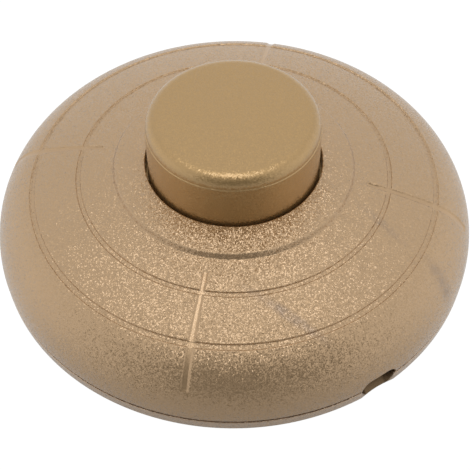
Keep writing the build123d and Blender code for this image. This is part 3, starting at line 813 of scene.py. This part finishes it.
class SWITCH_OT_cover(bpy.types.Operator):
    """Builds the domed cover with its channels, marks, collar and cord inlets"""

    bl_idname = "switch.cover"
    bl_label = "Cover"

    def execute(self, context):
        sizes = settings("shell_sizes")
        dome = DomeSection(sizes)
        section, grooved = cover_outline(sizes, dome)
        azimuth, aside, marked = cover_columns(section[:, 0])
        depth, in_mark = np.zeros_like(aside), np.zeros_like(aside)
        depth[:grooved], in_mark[:grooved] = groove_depths(
            sizes, section[:grooved, 0], aside[:grooved], marked[:grooved]
        )
        along, up = dome.normal(section[:, 0], section[:, 1])
        radius = section[:, :1] - depth * along[:, None]
        height = section[:, 1:] - depth * up[:, None]
        points = np.stack([radius * np.cos(azimuth), radius * np.sin(azimuth), height], axis=-1)
        vertices, quads = mesh_from_grid(points, closed_rows=True)
        piece = new_piece("cover_shell", [(vertices, quads)], sharp=40)
        if len(piece.data.vertices) != len(vertices):
            raise RuntimeError("the cover's grid has points that fall together")
        paint_mark_mask(piece.data, in_mark)
        cut_away(piece, inlet_tools(sizes, "cover_inlet"), sharp=40)
        set_piece(piece, gold_paint("shell_paint", "shell_gold", wear_and_painted_mark_light=True), "gold_shell", "housing", "cover")
        fittings = new_piece("cover_fittings", cover_fittings(sizes))
        set_piece(fittings, gold_paint("cover_inside_paint", "shell_gold"), "gold_shell", "housing")
        return {"FINISHED"}


class SWITCH_OT_base(bpy.types.Operator):
    """Builds the base with its band, spigot, recesses and inner fittings"""

    bl_idname = "switch.base"
    bl_label = "Base"

    def execute(self, context):
        piece = new_piece("base_shell", [turned_part(base_outline(settings("shell_sizes")), 320)], sharp=40)
        cut_away(piece, base_cuts(), sharp=40)
        # Painted reflection: this paler paint stands in for the bright floor reflected in the base's band.
        paint = gold_paint("base_paint", "base_gold_painted_reflection")
        set_piece(piece, paint, "gold_shell", "housing", "base")
        set_piece(new_piece("base_fittings", base_fittings()), paint, "gold_shell", "housing")
        return {"FINISHED"}


class SWITCH_OT_button(bpy.types.Operator):
    """Builds the push button with its skirt, driver tube and driver teeth"""

    bl_idname = "switch.button"
    bl_label = "Button"

    def execute(self, context):
        sizes = settings("shell_sizes")
        piece = new_piece("button_shell", [turned_part(button_outline(sizes), 288)], sharp=50)
        slot_middle, slot_size, deepest, shallowest = (button_high[0], 0), (1.8, 1.76), 3.6, 2.0
        low, high = cover_high[2] - deepest, cover_high[2] - shallowest
        keys = [
            new_piece(f"key_slot_{side}", [block_part(slot_middle, slot_size, low, high, angle, edge=0.0)])
            for side, angle in enumerate((0, 180))
        ]
        cut_away(piece, keys, sharp=50)
        paint = gold_paint("button_paint", "button_gold")
        set_piece(piece, paint, "gold_button", "button", "button")
        set_piece(new_piece("button_drive", button_drive(sizes)), paint, "gold_button", "button")
        return {"FINISHED"}


class SWITCH_OT_mechanism(bpy.types.Operator):
    """Winds the spring and gives the inner pieces, the screws and the feet their finishes"""

    bl_idname = "switch.mechanism"
    bl_label = "Mechanism"

    def execute(self, context):
        for finish, nodes in FINISHED_NODES.items():
            material = FINISH_MAKERS[finish](finish)
            for node in nodes:
                dress_node(node, material)
        coil = new_piece("spring_coil", [spring_part(settings("shell_sizes"))], sharp=60)
        steel = FINISH_MAKERS["spring_steel"]("spring_wire_steel")
        set_piece(coil, steel, "spring_steel", "housing", "button_spring")
        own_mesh(coil)
        return {"FINISHED"}


def dress_node(node, material):
    """Puts a material on a CAD node."""
    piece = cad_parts[node]
    for place in piece.material_slots:
        place.material = material


class Graph:
    """Short way to write the node tree of a material or of the world."""

    def __init__(self, owner):
        owner.use_nodes = True
        self.owner = owner
        self.tree = owner.node_tree
        self.shader = self.tree.nodes.get("Principled BSDF") or self.tree.nodes["Background"]

    def node(self, kind, inputs=None, **settings_of_node):
        """Adds a node, sets its options and then its inputs, each from a value or another node's output."""
        made = self.tree.nodes.new("ShaderNode" + kind)
        for key, value in settings_of_node.items():
            setattr(made, key, value)
        for key, value in (inputs or {}).items():
            self.feed(made.inputs[key], value)
        return made

    def feed(self, socket, value):
        """Gives a socket a value, or links it to an output."""
        if isinstance(value, bpy.types.NodeSocket):
            self.tree.links.new(value, socket)
        else:
            socket.default_value = value

    def set(self, **inputs):
        """Feeds the shader's own sockets, named with underscores for spaces."""
        for key, value in inputs.items():
            self.feed(self.shader.inputs[key.replace("_", " ")], value)

    def place(self):
        """Object coordinates."""
        return self.node("TexCoord").outputs["Object"]

    def noise(self, scale, detail=2.0, roughness=0.5, vector=None):
        """Noise from 0 to 1 with features about 1/scale metres apart."""
        texture = {"Vector": vector or self.place(), "Scale": scale, "Detail": detail, "Roughness": roughness}
        return self.node("TexNoise", texture).outputs["Fac"]

    def spread(self, value, low, high, from_low=0.0, from_high=1.0, **options):
        """Value moved from one range to another."""
        ranges = {"From Min": from_low, "From Max": from_high, "To Min": low, "To Max": high}
        return self.node("MapRange", {"Value": value, **ranges}, **options).outputs["Result"]

    def mix(self, factor, first, second):
        """Colour between two colours."""
        made = self.node("Mix", data_type="RGBA")
        self.feed(made.inputs["Factor"], factor)
        self.feed(made.inputs["A"], first)
        self.feed(made.inputs["B"], second)
        return made.outputs["Result"]

    def maths(self, operation, first, second=0.0):
        """One arithmetic step."""
        made = self.node("Math", operation=operation)
        self.feed(made.inputs[0], first)
        self.feed(made.inputs[1], second)
        return made.outputs[0]

    def vector(self, operation, first, second=None):
        """One step with vectors, where second is the scale for SCALE."""
        made = self.node("VectorMath", operation=operation)
        self.feed(made.inputs[0], first)
        if second is not None:
            self.feed(made.inputs["Scale" if operation == "SCALE" else 1], second)
        return made.outputs["Value" if operation in ("LENGTH", "DOT_PRODUCT") else "Vector"]

    def bump(self, height, depth, strength=1.0, normal=None):
        """Bump of a given depth in metres, on the face's own normal or another one."""
        made = self.node("Bump", {"Height": height, "Distance": depth, "Strength": strength})
        if normal is not None:
            self.feed(made.inputs["Normal"], normal)
        return made.outputs["Normal"]

    def patch(self, radius, angle, height, half_sizes, lean):
        """1 inside an oval patch of the surface and 0 outside it, with soft edges.

        The patch is centred on a radius and an angle in degrees, and its half sizes in millimetres run out
        from the middle and round it; lean turns it in degrees.
        """
        full_strength = 0.3
        x, y = radius * cos(radians(angle)), radius * sin(radians(angle))
        moved = self.vector("SUBTRACT", self.place(), (x * MM, y * MM, height * MM))
        turning = {"Vector": moved, "Angle": radians(-angle - lean)}
        turned = self.node("VectorRotate", turning, rotation_type="Z_AXIS")
        across = tuple(1 / (half * MM) for half in (*half_sizes, max(half_sizes)))
        scaled = self.vector("MULTIPLY", turned.outputs[0], across)
        return self.spread(self.vector("LENGTH", scaled), 1.0, 0.0, full_strength, 1.0)

    def inlet_mask(self):
        """1 on the walls inside both inlets and 0 on the rest, with soft edges."""
        oval_edges, wall_starts, wall_full = (1.1, 1.2), 0.15, 0.35
        middle, half_width, half_height = inlet_middle()
        place = self.place()
        moved = self.vector("SUBTRACT", place, (0.0, 0.0, middle * MM))
        scaled = self.vector("MULTIPLY", moved, (0.0, 1 / (half_width * MM), 1 / (half_height * MM)))
        near = self.spread(self.vector("LENGTH", scaled), 1.0, 0.0, *oval_edges)
        radius = self.vector("LENGTH", self.vector("MULTIPLY", place, (1.0, 1.0, 0.0)))
        rim = cover_high[1] * MM
        inside = self.spread(radius, 1.0, 0.0, rim - wall_full * MM, rim - wall_starts * MM)
        return self.maths("MULTIPLY", near, inside)


def toned(rgb, factor=1.0):
    """Colour scaled by a factor, with full alpha."""
    return (*(min(1.0, channel * factor) for channel in rgb), 1.0)


def gold_paint(name, colour_name, wear_and_painted_mark_light=False):
    """Satin metallic paint: leaning flakes over orange-peel grain, smoother in the radial marks and inlets.

    The clear lacquer over it follows the same flakes and grain, and is left out inside the inlets. The paint
    is made a little lighter in the marks as painted light on their floors, and darker inside the inlets as
    painted shade in the holes.
    """
    flake_tones, mark_calm, mark_painted_light = (0.94, 1.06), 0.8, 1.04
    cloud_scale, cloud_tone, cloud_share, cloud_edges = 90.0, 0.8, 0.1, (0.35, 0.75)
    gloss_steps = (-0.02, 0.03)
    finishes = settings("finishes")
    gold = tuple(getattr(finishes, colour_name))
    graph = Graph(bpy.data.materials.new(name))
    place = graph.place()
    on_button = colour_name == "button_gold"
    calm = finishes.button_calm if on_button else 0.0
    if wear_and_painted_mark_light:
        in_mark = graph.node("Attribute", attribute_name="in_mark").outputs["Fac"]
        calm = graph.maths("MULTIPLY", in_mark, mark_calm)
    lively = graph.maths("SUBTRACT", 1.0, calm)
    if not on_button:
        in_inlet = graph.inlet_mask()
        lively = graph.maths("MULTIPLY", lively, graph.maths("SUBTRACT", 1.0, in_inlet))
    cells = graph.node("TexVoronoi", {"Vector": place, "Scale": 1 / finishes.flake_size}).outputs["Color"]
    lean = graph.vector("SUBTRACT", cells, (0.5, 0.5, 0.5))
    lean = graph.vector("SCALE", lean, graph.maths("MULTIPLY", lively, 2 * finishes.flake_tilt))
    tipped = graph.vector("ADD", graph.node("NewGeometry").outputs["Normal"], lean)
    tipped = graph.vector("NORMALIZE", tipped)
    grain = graph.noise(1 / finishes.grain_size, detail=3.0, roughness=0.6)
    cloud = graph.noise(cloud_scale, detail=3.0)
    flake = graph.node("SeparateColor", {"Color": cells}).outputs["Red"]
    base = graph.mix(flake, *(toned(gold, tone) for tone in flake_tones))
    base = graph.mix(graph.spread(cloud, 0.0, cloud_share, *cloud_edges), base, toned(gold, cloud_tone))
    if wear_and_painted_mark_light:
        # Painted light: the marks' paint is made a little lighter, standing in for light on their floors.
        base = graph.mix(in_mark, base, toned(gold, mark_painted_light))
        base = add_wear(graph, base)
    lacquer = finishes.lacquer
    if not on_button:
        # Painted shade: inside the inlets the paint is darkened, standing in for the shade in the holes.
        base = graph.mix(in_inlet, base, toned(finishes.shell_gold, finishes.inlet_painted_shade))
        lacquer = graph.spread(in_inlet, lacquer, 0.0)
    roughness = graph.spread(cloud, *(finishes.paint_roughness + step for step in gloss_steps))
    surface = graph.bump(grain, finishes.grain_depth, lively, tipped)
    graph.set(
        Base_Color=base, Metallic=finishes.paint_metal, Roughness=roughness,
        Coat_Weight=lacquer, Coat_Roughness=finishes.lacquer_roughness,
        Normal=surface, Coat_Normal=surface,
    )
    return graph.owner


def add_wear(graph, base):
    """Rubbed smudge on the front of the dome, a scuffed arc at the right and a faint one by the collar."""
    grey = toned(settings("finishes").smudge_grey)
    blotch_scale, faintest, edges = 700.0, 0.35, (0.35, 0.6)
    blotches = graph.spread(graph.noise(blotch_scale, detail=3.0), faintest, 1.0, *edges)
    for *patch_place, strength in WORN_PATCHES:
        patch = graph.patch(*patch_place)
        factor = graph.maths("MULTIPLY", graph.maths("MULTIPLY", patch, blotches), strength)
        base = graph.mix(factor, base, grey)
    return base


def plain_finish(graph, rgb, roughness, texture, look):
    """Cloudy colour, and a texture that sets the gloss and a slight relief."""
    cloud = graph.noise(look["cloud_scale"], detail=2.0)
    graph.set(
        Base_Color=graph.mix(cloud, *(toned(rgb, tone) for tone in look["tones"])),
        Roughness=graph.spread(texture, *(roughness + step for step in look["gloss_steps"])),
        Normal=graph.bump(texture, look["relief"] * MM, look["relief_strength"]),
    )
    return graph.owner


def plain_metal(name, rgb, roughness):
    """Metal with fine drawn scratches and cloudy gloss."""
    look = {
        "cloud_scale": 250.0, "tones": (0.85, 1.08), "gloss_steps": (-0.08, 0.12),
        "relief": 0.01, "relief_strength": 0.5,
    }
    scratch_scale, stretch = 900.0, (1.0, 1.0, 12.0)
    graph = Graph(bpy.data.materials.new(name))
    stretched = graph.node("Mapping", {"Vector": graph.place(), "Scale": stretch}).outputs["Vector"]
    scratches = graph.noise(scratch_scale, detail=4.0, vector=stretched)
    graph.set(Metallic=1.0)
    return plain_finish(graph, rgb, roughness, scratches, look)


def plain_mould(name, rgb, roughness):
    """Moulded plastic or rubber with an even fine grain."""
    look = {
        "cloud_scale": 120.0, "tones": (0.85, 1.15), "gloss_steps": (-0.06, 0.08),
        "relief": 0.02, "relief_strength": 0.4,
    }
    grain_scale = 2500.0
    graph = Graph(bpy.data.materials.new(name))
    return plain_finish(graph, rgb, roughness, graph.noise(grain_scale, detail=3.0), look)


# Colour and roughness of each plain finish
FINISH_MAKERS = {
    "brass": lambda name: plain_metal(name, (0.62, 0.42, 0.14), 0.32),
    "bronze": lambda name: plain_metal(name, (0.55, 0.28, 0.12), 0.3),
    "silver": lambda name: plain_metal(name, (0.72, 0.70, 0.66), 0.28),
    "spring_steel": lambda name: plain_metal(name, (0.36, 0.36, 0.37), 0.3),
    "zinc": lambda name: plain_metal(name, (0.55, 0.55, 0.52), 0.36),
    "nylon": lambda name: plain_mould(name, (0.02, 0.02, 0.022), 0.5),
    "rubber": lambda name: plain_mould(name, (0.012, 0.012, 0.012), 0.75),
}


class SWITCH_OT_stage(bpy.types.Operator):
    """Sets up the white floor, the soft lights and the camera"""

    bl_idname = "switch.stage"
    bl_label = "Stage"

    def execute(self, context):
        levels = settings("studio_levels")
        add_floor(levels)
        add_surround(levels)
        add_overhead(levels)
        add_camera(levels)
        return {"FINISHED"}


def level_directions(levels):
    """Level directions towards the camera and to the right of the picture."""
    azimuth = levels.azimuth
    return (sin(azimuth), -cos(azimuth), 0.0), (cos(azimuth), sin(azimuth), 0.0)


def add_floor(levels):
    """Wide floor: white to the camera with a trace of shadow, greyer in reflections and most so in front."""
    seen_glow, seen_share, mirrored_share, front_starts = 1.08, 0.93, 0.6, 0.4
    half = 1.5
    corners = [(-half, -half, 0), (half, -half, 0), (half, half, 0), (-half, half, 0)]
    mesh = bpy.data.meshes.new("floor")
    mesh.from_pydata(corners, [], [(0, 1, 2, 3)])
    floor = bpy.data.objects.new("floor", mesh)
    bpy.context.scene.collection.objects.link(floor)
    graph = Graph(bpy.data.materials.new("floor_white"))
    outwards = graph.vector("NORMALIZE", graph.place())
    facing = graph.vector("DOT_PRODUCT", outwards, level_directions(levels)[0])
    tone = graph.spread(facing, levels.floor_back, levels.floor_front, front_starts, 1.0)
    graph.set(Base_Color=tone, Roughness=0.9)
    rays = graph.node("LightPath").outputs
    seen, mirrored = rays["Is Camera Ray"], rays["Is Glossy Ray"]
    strengths = (graph.maths("MULTIPLY", seen, seen_glow), graph.maths("MULTIPLY", mirrored, tone))
    shares = (graph.maths("MULTIPLY", seen, seen_share), graph.maths("MULTIPLY", mirrored, mirrored_share))
    glow = graph.node("Emission", {"Color": (1, 1, 1, 1), "Strength": graph.maths("ADD", *strengths)})
    shaders = {1: graph.shader.outputs["BSDF"], 2: glow.outputs["Emission"]}
    mixed = graph.node("MixShader", {0: graph.maths("ADD", *shares), **shaders}).outputs[0]
    graph.feed(graph.tree.nodes["Material Output"].inputs["Surface"], mixed)
    mesh.materials.append(graph.owner)


def add_surround(levels):
    """White tent: dim in a wedge on the camera's side, and brighter to both sides and low behind the switch.

    The wedge is where the direction's part towards the camera outweighs a share of its part to either side.
    """
    wedge_share = 0.7
    wedge_edges, side_edges, back_edges = (0.08, 0.6), (0.55, 0.95), (-1.0, -0.7)
    soft = {"interpolation_type": "SMOOTHSTEP"}
    graph = Graph(bpy.data.worlds.new("surround"))
    direction = graph.node("TexCoord").outputs["Generated"]
    towards, aside = (graph.vector("DOT_PRODUCT", direction, level) for level in level_directions(levels))
    aside = graph.maths("ABSOLUTE", aside)
    wedge = graph.maths("SUBTRACT", towards, graph.maths("MULTIPLY", aside, wedge_share))
    front = graph.spread(wedge, 1.0, levels.front_share, *wedge_edges, **soft)
    back = graph.spread(towards, 1.0 + levels.back_gain, 1.0, *back_edges, **soft)
    sides = graph.spread(aside, 1.0, 1.0 + levels.side_gain, *side_edges, **soft)
    strength = levels.surround
    for factor in (front, back, sides):
        strength = graph.maths("MULTIPLY", factor, strength)
    graph.set(Color=(1.0, 1.0, 1.0, 1.0), Strength=strength)
    bpy.context.scene.world = graph.owner


def add_overhead(levels):
    """Square area light above the switch, aimed down at it."""
    height = 0.45
    lamp = bpy.data.lights.new("overhead_light", "AREA")
    lamp.size = levels.overhead_size
    lamp.energy = levels.overhead
    light = bpy.data.objects.new("overhead_light", lamp)
    light.location = (0.0, 0.0, height)
    bpy.context.scene.collection.objects.link(light)


def add_camera(levels):
    """Camera at the photograph's angle: a point on the line of sight, and a small roll about it."""
    azimuth, rise, roll = levels.azimuth, levels.elevation, levels.roll
    across = Vector((cos(azimuth), sin(azimuth), 0))
    sight = Vector((-sin(azimuth) * cos(rise), cos(azimuth) * cos(rise), -sin(rise)))
    upward = across.cross(sight)
    right = cos(roll) * across + sin(roll) * upward
    above = cos(roll) * upward - sin(roll) * across
    place = across * levels.aim_right + Vector((0, 0, levels.aim_height)) - sight * levels.distance
    lens = bpy.data.cameras.new("camera")
    lens.sensor_width = 36.0
    lens.lens = levels.focal_pixels * lens.sensor_width / levels.picture_pixels
    lens.clip_start = 0.01
    camera = bpy.data.objects.new("camera", lens)
    turned = Matrix((right, above, -sight)).transposed().to_4x4()
    camera.matrix_world = Matrix.Translation(place) @ turned
    bpy.context.scene.collection.objects.link(camera)
    bpy.context.scene.camera = camera


OPERATORS = (SWITCH_OT_cover, SWITCH_OT_base, SWITCH_OT_button, SWITCH_OT_mechanism, SWITCH_OT_stage)


class SWITCH_PT_panel(bpy.types.Panel):
    """Lists the steps that dress the switch"""

    bl_idname = "SWITCH_PT_panel"
    bl_label = "Foot switch"
    bl_space_type = "VIEW_3D"
    bl_region_type = "UI"
    bl_category = "Foot switch"

    def draw(self, context):
        for step in OPERATORS:
            self.layout.operator(step.bl_idname)
        for name in SETTINGS:
            box = self.layout.box()
            group = getattr(context.scene, name)
            for key in group.__annotations__:
                box.prop(group, key)


def register():
    """Registers the classes and hangs the settings on the scene."""
    for item in (*SETTINGS.values(), *OPERATORS, SWITCH_PT_panel):
        bpy.utils.register_class(item)
    for name, group in SETTINGS.items():
        setattr(bpy.types.Scene, name, PointerProperty(type=group))


def unregister():
    """Takes back what register did."""
    for name in SETTINGS:
        delattr(bpy.types.Scene, name)
    for item in reversed((*SETTINGS.values(), *OPERATORS, SWITCH_PT_panel)):
        bpy.utils.unregister_class(item)


def main():
    """Runs every step in order."""
    register()
    bpy.context.scene.view_settings.view_transform = "Standard"
    bpy.ops.switch.cover()
    bpy.ops.switch.base()
    bpy.ops.switch.button()
    bpy.ops.switch.mechanism()
    bpy.ops.switch.stage()


if __name__ == "__main__":
    main()
